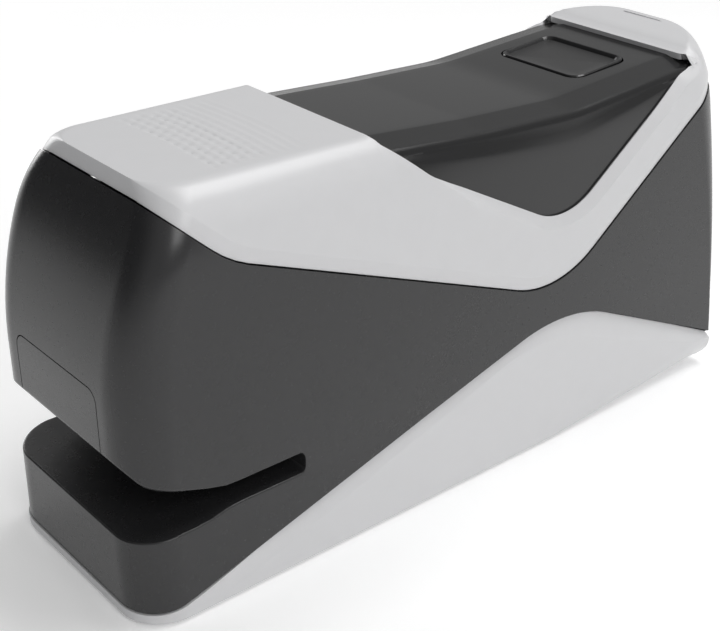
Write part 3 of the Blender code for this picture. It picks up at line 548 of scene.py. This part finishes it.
COVER_LINE = rounded_path([(-2, 88, 0), (8.5, 77.2, 0), (21.5, 64.9, 22), (99.5, 33.9, 22), (143, 67.0, 6),
                           (158, 70.5, 0)], 14)
CHEEK_LINE = rounded_path([(-4, 1.9, 0), (6.3, 2.0, 30), (103.2, 29.9, 37), (158, 4.7, 0)], 14)
CHEEK_CREASE = rounded_path([(-4, -5, 0), (14, 0.2, 20), (96.5, 25.8, 34), (158, 2.1, 0)], 14)
WINDOW_LINE = rounded_path([(54.95, 90, 0), (55.2, 76.3, 1.5), (64.5, 68.3, 12), (101.5, 48.3, 14), (134.0, 72.6, 5),
                            (138.6, 74.2, 0), (138.7, 90, 0)], 14)
SLOT_LOW = rounded_path([(-6, 16.2, 0), (9, 17.5, 6), (14, 17.5, 6), (19.5, SLOT_FLOOR_Z, 6),
                         (SLOT_END, SLOT_FLOOR_Z, 1.3), (SLOT_END + 0.01, SLOT_Z, 0)])
SLOT_HIGH = rounded_path([(-6, 40, 0), (-1.5, 34, 0), (3.4, 27.6, 4), (18.5, SLOT_ROOF_Z, 12),
                          (SLOT_END, SLOT_ROOF_Z, 1.3), (SLOT_END + 0.01, SLOT_Z, 0)])


BEVEL_WIDTH = 2.6              # the band's lower edge leans inwards over this width
BEVEL_DEPTH = 0.5
RING_WIDTH = 2.3               # the sloped ring round the window
RING_DEPTH = 1.4
RING_FROM, RING_RISE = 63.0, 16.0


def window_ring_width(y):
    """How wide the sloped ring round the window is: it starts part way down the front arm."""
    rise = np.clip((y - RING_FROM) / RING_RISE, 0.0, 1.0)
    return RING_WIDTH * rise * rise * (3 - 2 * rise)


WINDOW_CREASE = beside(WINDOW_LINE, -window_ring_width(WINDOW_LINE[:, 0]))
COVER_CREASE = beside(COVER_LINE, BEVEL_WIDTH)
SADDLE = rounded_path([(50, 75.2, 0), (80, 72.9, 60), (104, 71.7, 60), (128, 73.2, 60), (142, 73.9, 0)], 6)


def distance_from(path, points):
    """Side-view distance of points from a path."""
    y, z = points[:, 1][:, None], points[:, 2][:, None]
    a, b = path[:-1], path[1:]
    step = b - a
    t = ((y - a[:, 0]) * step[:, 0] + (z - a[:, 1]) * step[:, 1]) / np.sum(step ** 2, axis=1)
    t = np.clip(t, 0.0, 1.0)
    return np.min(np.hypot(y - a[:, 0] - t * step[:, 0], z - a[:, 1] - t * step[:, 1]), axis=1)


# ---------------------------------------------------------------- white cover

COVER_LOWEST = 30.0            # the band's lower edge is looked for above this height
BEVEL_STEPS = (0.0, 0.1, 0.5, 0.93)
BAND_STEPS = (0.0, 0.012, 0.06, 0.16, 0.25, 0.34, 0.43, 0.52, 0.61, 0.7, 0.78, 0.86, 0.93, 0.97)
RING_STEPS = (0.0, 0.12, 0.4, 0.7, 1.0)
SLIVER, RING_SLIVER = 0.15, 0.1    # a crease or ring that comes this close to the top joins it


def cover_top(y):
    """Height of the flat top along the stapler."""
    return np.interp(y, (12.0, 54.0, 128.0, 138.0, 140.6, 148.5), (77.35, 76.45, 76.5, 75.2, 75.6, 77.2))


def cover_skin():
    """The plain cover: its band from the lower edge up to the window, and the flat top before and behind that."""
    low = level(COVER_LINE, COVER_LOWEST, TOP_Z)
    crease = level(COVER_CREASE, low, TOP_Z)
    crease = np.where(crease > TOP_Z - SLIVER, TOP_Z, crease)
    ring = level(WINDOW_CREASE, crease, TOP_Z)
    edge = level(WINDOW_LINE, ring, TOP_Z)
    columns = np.arange(len(KIND))
    whole = (columns <= WINDOW_FRONT_COLUMN) | (columns >= WINDOW_REAR_COLUMN)
    edge = np.where(whole, TOP_Z, edge)
    ring = np.where(ring > TOP_Z - RING_SLIVER, TOP_Z, ring)
    rows = strip(low, crease, BEVEL_STEPS) + strip(crease, ring, BAND_STEPS) + strip(ring, edge, RING_STEPS)
    patches = both_sides(np.array(rows))
    patches += across(rows[-1], FRONT_COLUMNS - 1, WINDOW_FRONT_COLUMN + 1)
    patches += across(rows[-1], WINDOW_REAR_COLUMN, REAR_START + 1)
    return skin("cover_skin", patches)


def make_cover():
    """Presses the bevel, the window's ring, the finger grip and the sagging top into the cover."""
    cover = cover_skin()
    points, normals = local(cover.data)
    lean = BEVEL_DEPTH * np.clip(1.0 - distance_from(COVER_LINE, points) / BEVEL_WIDTH, 0.0, 1.0)
    width = np.maximum(window_ring_width(points[:, 1]), 0.05)
    slope = np.clip(1.0 - distance_from(WINDOW_LINE, points) / width, 0.0, 1.0) * np.minimum(1.0, width / 1.6)
    slope = np.where(points[:, 1] > RING_FROM - 3.0, slope, 0.0)
    flat = (points[:, 2] > TOP_Z - 0.01) & (points[:, 1] > GRIP_FROM) & (points[:, 1] < GRIP_TO)
    points = points - normals * (lean + RING_DEPTH * slope)[:, None]
    points[:, 2] -= np.where(flat, dimples(points[:, 0], points[:, 1]), 0.0)
    above = np.clip((points[:, 2] - SHOULDER_Z) / SHOULDER, 0.0, 1.0)
    points[:, 2] -= above ** 3 * (TOP_Z - cover_top(points[:, 1]))
    move_vertices(cover, points)
    thicken(cover, COVER_WALL)
    dress(cover, "top_cover")


GRIP_FROM, GRIP_TO = 22.0, 48.0
GRIP_HALF = 15.5
ROW_PITCH, DIMPLE_PITCH = 1.9, 2.6
DIMPLE_DEPTH, RIPPLE_DEPTH = 0.30, 0.14


def dimples(x, y):
    """Depth of the finger grip: rows of small oval dimples that fade into shallow ripples towards the rear."""
    bow = y + 0.004 * x * x
    row = (bow - 24.5) / ROW_PITCH
    nearest = np.round(row)
    stagger = np.where(nearest % 2 == 0, 0.0, 0.5)
    cell = x / DIMPLE_PITCH + stagger
    across_cell = (cell - np.round(cell)) * DIMPLE_PITCH
    along_row = (row - nearest) * ROW_PITCH
    reach = np.hypot(across_cell / 1.05, along_row / 0.62)
    oval = DIMPLE_DEPTH * np.clip(1.0 - reach ** 2, 0.0, 1.0)
    ripple = RIPPLE_DEPTH * np.clip(1.0 - (along_row / 0.75) ** 2, 0.0, 1.0)
    fade = np.clip((bow - 33.0) / 7.0, 0.0, 1.0)
    inside = np.clip((GRIP_HALF - np.abs(x)) / 2.0, 0, 1)
    inside = inside * np.clip((bow - 25.2) / 0.8, 0, 1) * np.clip((46.0 - bow) / 3, 0, 1)
    return inside * (oval * (1.0 - fade) + ripple * fade)


# ---------------------------------------------------------------- dark casing and its two doors

CHEEK_LOWEST, CHEEK_HIGHEST = 0.5, 35.0    # the cheek's edge is looked for between these heights
LIP = 0.35                     # rounding along the slot's edges
LIP_AT_NOSE = 1.1              # and how much more the upper one has at the nose


def make_housing():
    """The dark body round the slot. Its skin has a lower and an upper half, which meet behind the slot's end."""
    inset = HOUSING_INSET
    foot = level(CHEEK_LINE, CHEEK_LOWEST, CHEEK_HIGHEST, inset) + TRIM_GAP
    head = level(COVER_LINE, COVER_LOWEST, TOP_Z, inset) - TRIM_GAP
    y = wall(20.0)[:, 1]
    closed = y > SLOT_END + 0.02
    middle = np.interp(y, (SLOT_END, 95.0), (SLOT_Z, 33.0))
    low = np.where(closed, middle, level(SLOT_LOW, 10.0, SLOT_Z, inset))
    high = np.where(closed, middle, level(SLOT_HIGH, SLOT_Z, 40.0, inset))
    near_end = np.clip((SLOT_END - y) / 0.6, 0.0, 1.0)
    lip_low = LIP * near_end
    lip_high = (LIP + LIP_AT_NOSE * np.clip((14.0 - y) / 10.0, 0.0, 1.0)) * near_end
    turns = np.radians(np.linspace(0.0, 90.0, 6))
    under = strip(foot, low - lip_low, np.linspace(0.0, 1.0, 9), inset, inset)
    for turn in turns[1:]:
        under.append(wall(low - lip_low * (1 - np.sin(turn)), inset + lip_low * (1 - np.cos(turn))))
    over = []
    for turn in turns[::-1][:-1]:
        over.append(wall(high + lip_high * (1 - np.sin(turn)), inset + lip_high * (1 - np.cos(turn))))
    over += strip(high + lip_high, head, np.linspace(0.0, 1.0, 25) ** 0.9, inset, inset)
    patches = both_sides(np.array(under)) + both_sides(np.array(over))
    patches += across(under[-1], FRONT_COLUMNS - 1, PINCH_COLUMN + 1)
    patches += across(over[0], FRONT_COLUMNS - 1, PINCH_COLUMN + 1)
    shell = skin("housing_skin", patches)
    thicken(shell, HOUSING_WALL)
    return shell


def copy_of(item, name):
    twin = bpy.data.objects.new(name, item.data.copy())
    scene.collection.objects.link(twin)
    return twin


def make_casing():
    """The housing, and the two doors that are cut out of the same skin with a narrow gap all round."""
    housing = make_housing()
    door = copy_of(housing, "drawer_front_skin")
    hatch = copy_of(housing, "battery_door_skin")
    combine(door, prism("cut", rounded_rectangle(20.0, 43.8, -13.6, 13.6, 2.4), "Y", -10, 26), "INTERSECT")
    combine(door, prism("exit", rounded_rectangle(-5.2, 5.2, 21.4, 23.4, 0.3, 2), "Z", 18, 27))
    combine(hatch, prism("cut", rounded_rectangle(9.8, 40.8, -16.0, 16.0, 1.8), "Y", 140, 165), "INTERSECT")
    combine(housing, prism("cut", rounded_rectangle(20.0, 44.02, -13.82, 13.82, 2.6), "Y", -10, 26.3))
    combine(housing, prism("cut", rounded_rectangle(9.55, 41.05, -16.25, 16.25, 2.0), "Y", 140, 165))
    combine(housing, prism("seat", rounded_rectangle(-7.3, 7.3, 20.3, 27.6, 0.3, 2), "Z", 15, 20))
    combine(housing, prism("way", rounded_rectangle(19.3, 22.6, -2.2, 2.2, 0.3, 2), "Y", 33, 41))
    dress(housing, "main_housing")
    dress(door, "drawer_front")
    dress(hatch, "battery_door")


# ---------------------------------------------------------------- white tray

SCREW_X, SCREW_PLACES, SCREW_BORE = 8.0, (47.0, 84.0), 3.3
FOOT_PLACES, FOOT_SEAT = ((15.0, 16.5), (136.0, 15.0)), 4.3     # (distance from the nose, distance from the middle)
TRAY_EDGE_STEPS = (0.0, 0.06, 0.2, 0.4, 0.6, 0.8, 0.96, 0.985)
CHEEK_STEPS = (0.05, 0.12, 0.5, 0.9, 1.0)


def make_tray():
    """The white tray: a rounded foot, raised cheeks with a leaning bevel, screw bores and seats for the feet."""
    y = wall(2.0)[:, 1]
    radius = np.clip(0.35 + 0.125 * np.maximum(0.0, y - 101.0), 0.35, 6.6)
    edge = level(CHEEK_LINE, CHEEK_LOWEST, CHEEK_HIGHEST)
    radius = np.minimum(radius, 0.8 * edge)
    crease = np.minimum(np.maximum(level(CHEEK_CREASE, -2.0, CHEEK_HIGHEST), radius), edge - 0.02)
    lean = 1.05 * np.clip((y - 14.0) / 20.0, 0.0, 1.0)
    turns = np.radians(np.linspace(90.0, 0.0, 8))
    rows = []
    for turn in turns[:-1]:
        rows.append(wall(radius * (1 - np.sin(turn)), radius * (1 - np.cos(turn))))
    rows += strip(radius, crease, TRAY_EDGE_STEPS)
    rows += strip(crease, edge, CHEEK_STEPS, 0.0, lean)
    patches = both_sides(np.array(rows))
    patches += across(rows[0], FRONT_COLUMNS - 1, REAR_START + 1)
    tray = skin("tray_skin", patches)
    thicken(tray, TRAY_WALL)
    for x in (-SCREW_X, SCREW_X):
        for place in SCREW_PLACES:
            combine(tray, prism("bore", disc((x, place), SCREW_BORE), "Z", -3, 3.4))
    for place, half in FOOT_PLACES:
        for x in (-half, half):
            combine(tray, prism("seat", disc((x, place), FOOT_SEAT), "Z", -3, 0.8))
    dress(tray, "base_tray")


# ---------------------------------------------------------------- black panel and release button

def body_half(y, z):
    """Half the body's width at a place, rear corner included."""
    s = section(z)
    start, end = s["nose"] + s["front_radius"], s["back"] - s["rear_radius"]
    side = s["front"] + (s["rear"] - s["front"]) * np.clip((y - start) / (end - start), 0.0, 1.0)
    past = np.clip(y - end, 0.0, s["rear_radius"])
    return side - s["rear_radius"] + np.sqrt(s["rear_radius"] ** 2 - past ** 2)


PANEL_GAP = 0.5                # between the panel's flank and the cover's wall
PANEL_FACET = 6.5              # width of the sloping facet along each side of the saddle
PANEL_DROP, PANEL_BEND = 1.1, 1.5


def make_panel():
    """The black saddle, with a facet and a rounded shoulder on each side, then flanks that follow the body."""
    y = along(WINDOW_FRONT - 1.8, WINDOW_REAR + 1.6, 0.8)
    top = np.interp(y, SADDLE[:, 0], SADDLE[:, 1])
    window = np.interp(y, WINDOW_LINE[:, 0] + np.arange(len(WINDOW_LINE)) * 1e-7, WINDOW_LINE[:, 1])
    bottom = np.minimum(top - 3.0, window - 2.2)
    edge = body_half(y, top - PANEL_DROP) - COVER_WALL - PANEL_GAP
    rows = []
    for t in np.linspace(0.0, 1.0, 10):
        rows.append((t * (edge - PANEL_FACET), top))
    for t in (0.06, 0.2, 0.45, 0.7, 1.0):
        rows.append((edge - PANEL_FACET + t * (PANEL_FACET - PANEL_BEND), top - PANEL_DROP * t))
    for turn in np.radians(np.linspace(15.0, 90.0, 6)):
        rows.append((edge - PANEL_BEND + PANEL_BEND * np.sin(turn), top - PANEL_DROP - PANEL_BEND * (1 - np.cos(turn))))
    start = top - PANEL_DROP - PANEL_BEND
    for t in np.linspace(0.0, 1.0, 14)[1:]:
        z = start + (bottom - start) * t
        share = min(1.0, t * 6)
        flank = np.maximum(edge, body_half(y, z) - COVER_WALL - PANEL_GAP)
        rows.append((flank * share + edge * (1 - share), z))
    grid = np.stack([np.stack([x, y, z], -1) for x, z in rows])
    panel = skin("panel_skin", both_sides(grid))
    thicken(panel, PANEL_WALL)
    combine(panel, prism("button_way", rounded_rectangle(-11.5, 11.5, 114.1, 130.4, 3.2), "Z", 60, 90))
    dress(panel, "top_panel")


BUTTON_HALF = 11.2
BUTTON_FROM, BUTTON_TO = 114.4, 130.1
BUTTON_MIDDLE = 122.25


def make_button():
    """A shallow dish inside a thin raised bead; its top slopes up towards the rear."""
    def ring(inset, drop):
        outline = np.array(rounded_rectangle(-BUTTON_HALF + inset, BUTTON_HALF - inset, BUTTON_FROM + inset,
                                             BUTTON_TO - inset, max(0.5, 2.9 - inset)))
        z = np.interp(outline[:, 1], (BUTTON_FROM, BUTTON_TO), (72.5, 73.7)) - drop
        return np.column_stack([outline, z])

    skirt_bead_and_dish = [(0.0, 3.2), (0.0, 0.3), (0.1, 0.08), (0.35, -0.1), (0.65, -0.08), (0.95, 0.15),
                           (1.3, 0.55), (1.9, 0.75), (4.0, 0.85)]
    rings = np.array([ring(inset, drop) for inset, drop in skirt_bead_and_dish])
    middle = np.broadcast_to((0.0, BUTTON_MIDDLE, 72.2), rings[:1].shape)
    rings = np.concatenate([rings, middle])
    rings = np.concatenate([rings, rings[:, :1]], axis=1)
    button = skin("button_skin", [rings])
    close_ends(button)
    dress(button, "release_button")


COIL_POINTS = 28


def make_spring(node, axis, centre, radius, wire, low, high, turns):
    """A round-wire coil of a number of turns round a centre, along an axis between two heights."""
    count = turns * COIL_POINTS
    turn = np.linspace(0.0, 2 * np.pi * turns, count + 1)
    along_axis = np.linspace(low + wire, high - wire, count + 1)
    tilt = np.linspace(0.0, 2 * np.pi, 11)
    reach = radius + wire * np.cos(tilt)[None, :]
    a = centre[0] + reach * np.cos(turn)[:, None]
    b = centre[1] + reach * np.sin(turn)[:, None]
    c = along_axis[:, None] + wire * np.sin(tilt)[None, :]
    grid = np.stack([a, c, b] if axis == 1 else [a, b, c], axis=-1)
    spring = skin(node + "_coil", [grid], 0.001)
    close_ends(spring)
    dress(spring, node, 60.0)
    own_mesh(spring)


make_cover()
make_casing()
make_tray()
make_panel()
make_button()
make_spring("pusher_spring", axis=1, centre=(0.0, 30.2), radius=1.1, wire=0.22, low=56.2, high=78.2,
            turns=9)
make_spring("button_spring", axis=2, centre=(0.0, BUTTON_MIDDLE), radius=2.6, wire=0.3, low=58.9,
            high=65.8, turns=5)


# ---------------------------------------------------------------- floor and light

FLOOR_HALF = 3.0               # metres
FLOOR_GLOW = 0.16


def make_floor():
    """A sheet of white paper that gives off a little light, so that it stays white round the stapler."""
    mesh = bpy.data.meshes.new("floor")
    half = FLOOR_HALF
    mesh.from_pydata([(-half, -half, 0), (half, -half, 0), (half, half, 0), (-half, half, 0)], [], [(0, 1, 2, 3)])
    floor = bpy.data.objects.new("floor", mesh)
    scene.collection.objects.link(floor)
    paper = surface("floor", (0.94, 0.94, 0.94), 0.6, vary=0.01, depth=0.01, wear=0.0)
    shader = paper.node_tree.nodes["Principled BSDF"]
    shader.inputs["Emission Color"].default_value = (1.0, 1.0, 1.0, 1.0)
    shader.inputs["Emission Strength"].default_value = FLOOR_GLOW
    mesh.materials.append(paper)


def make_light(name, place, target, size, power):
    """A soft box of a size in metres that faces a target."""
    data = bpy.data.lights.new(name, "AREA")
    data.shape = "RECTANGLE"
    data.size, data.size_y = size
    data.energy = power
    lamp = bpy.data.objects.new(name, data)
    scene.collection.objects.link(lamp)
    lamp.location = place
    lamp.rotation_euler = (Vector(target) - Vector(place)).to_track_quat("-Z", "Y").to_euler()


def make_world():
    """An even studio surround with a dark side, which the leaning nose mirrors."""
    world = bpy.data.worlds.new("studio")
    world.use_nodes = True
    tree = world.node_tree
    direction = tree.nodes.new("ShaderNodeTexCoord").outputs["Generated"]
    toward = tree.nodes.new("ShaderNodeVectorMath")
    toward.operation = "DOT_PRODUCT"
    tree.links.new(direction, toward.inputs[0])
    toward.inputs[1].default_value = (-0.68, -0.70, 0.22)
    background = tree.nodes["Background"]
    background.inputs["Color"].default_value = (1.0, 1.0, 1.0, 1.0)
    tree.links.new(spread(tree, toward.outputs["Value"], 0.42, 0.02, 0.35, 0.85), background.inputs["Strength"])
    scene.world = world


make_floor()
make_world()
make_light("overhead", (0.05, 0.30, 0.75), (0.0, 0.0, 0.04), (0.55, 0.35), 3.4)
make_light("left", (-0.80, -0.02, 0.25), (0.0, -0.03, 0.05), (0.25, 0.5), 1.6)
make_light("right", (0.62, -0.10, 0.50), (0.0, 0.02, 0.04), (0.35, 0.35), 1.5)
scene.view_settings.view_transform = "Standard"
